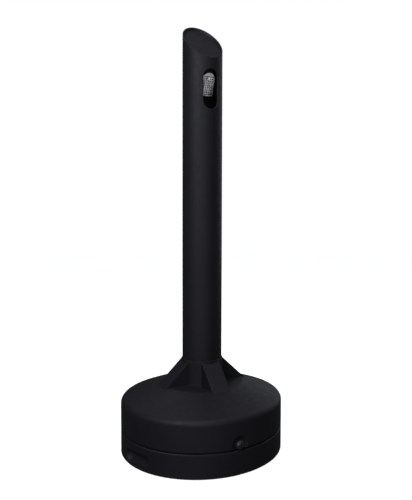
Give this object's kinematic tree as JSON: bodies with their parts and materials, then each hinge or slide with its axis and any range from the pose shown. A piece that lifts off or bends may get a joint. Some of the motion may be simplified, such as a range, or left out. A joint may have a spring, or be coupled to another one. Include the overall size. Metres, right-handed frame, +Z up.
{
  "type": "ashtray bin",
  "caption": "Free-standing smokers' pole: domed round base with a lift-out pail, round pole with a slanted top, capsule opening and perforated stub plate.",
  "frame": {"origin": "on the ground, under the axis of the pole and of the base", "axes": "+Z up the pole, -Y the front with the opening and the latch, +X to the right of someone facing the front"},
  "size_m": [0.36, 0.3645, 0.9478],
  "materials": {
    "shell_plastic": "fine matte moulded texture, charcoal",
    "pole_plastic": "matte, charcoal, slight sheen",
    "foot_rubber": "matt black",
    "seal_rubber": "matt black",
    "ballast_iron": "rough cast, painted grey",
    "zinc_steel": "zinc plated",
    "pail_steel": "galvanised",
    "insert_brass": "knurled brass",
    "stub_steel": "brushed stainless, perforated",
    "bracket_paint": "black stove enamel on steel",
    "rivet_steel": "stainless",
    "knob_metal": "dark satin, domed"
  },
  "bodies": {
    "base": {"lower_shell": "shell_plastic", "rubber_feet": "foot_rubber", "ballast_ring": "ballast_iron", "ballast_washers": "zinc_steel", "ballast_screws": "zinc_steel", "rim_seal": "seal_rubber", "latch_keeper": "zinc_steel", "keeper_screws": "zinc_steel"},
    "top": {"dome_shell": "shell_plastic", "pole_flange": "pole_plastic", "flange_inserts": "insert_brass", "flange_screws": "zinc_steel", "pole_tube": "pole_plastic", "top_cap": "pole_plastic", "stub_plate": "stub_steel", "stub_bracket": "bracket_paint", "stub_rivet": "rivet_steel", "bracket_screws": "zinc_steel", "latch_bushing": "zinc_steel", "latch_nut": "zinc_steel"},
    "pail": {"butt_pail": "pail_steel", "pivot_studs": "pail_steel"},
    "bail": {"bail_strap": "pail_steel"},
    "latch": {"latch_knob": "knob_metal", "latch_cam": "zinc_steel", "cam_screw": "zinc_steel"}
  },
  "joints": [
    {"name": "top_lift", "type": "slide", "parent": "base", "child": "top", "axis": [0, 0, 1], "range_m": [0, 0.32]},
    {"name": "pail_lift", "type": "slide", "parent": "base", "child": "pail", "axis": [0, 0, 1], "range_m": [0, 0.12]},
    {"name": "bail_swing", "type": "hinge", "parent": "pail", "child": "bail", "pos_m": [0, 0, 0.088], "axis": [1, 0, 0], "range_deg": [0, 90]},
    {"name": "latch_turn", "type": "hinge", "parent": "top", "child": "latch", "pos_m": [0, -0.17, 0.065], "axis": [0, -1, 0], "range_deg": [0, 90]}
  ],
  "couplings": [
    {"joint": "pail_lift", "follows": "top_lift", "ratio": 0.375},
    {"joint": "bail_swing", "follows": "top_lift", "rad_per_m": 4.9087}
  ]
}
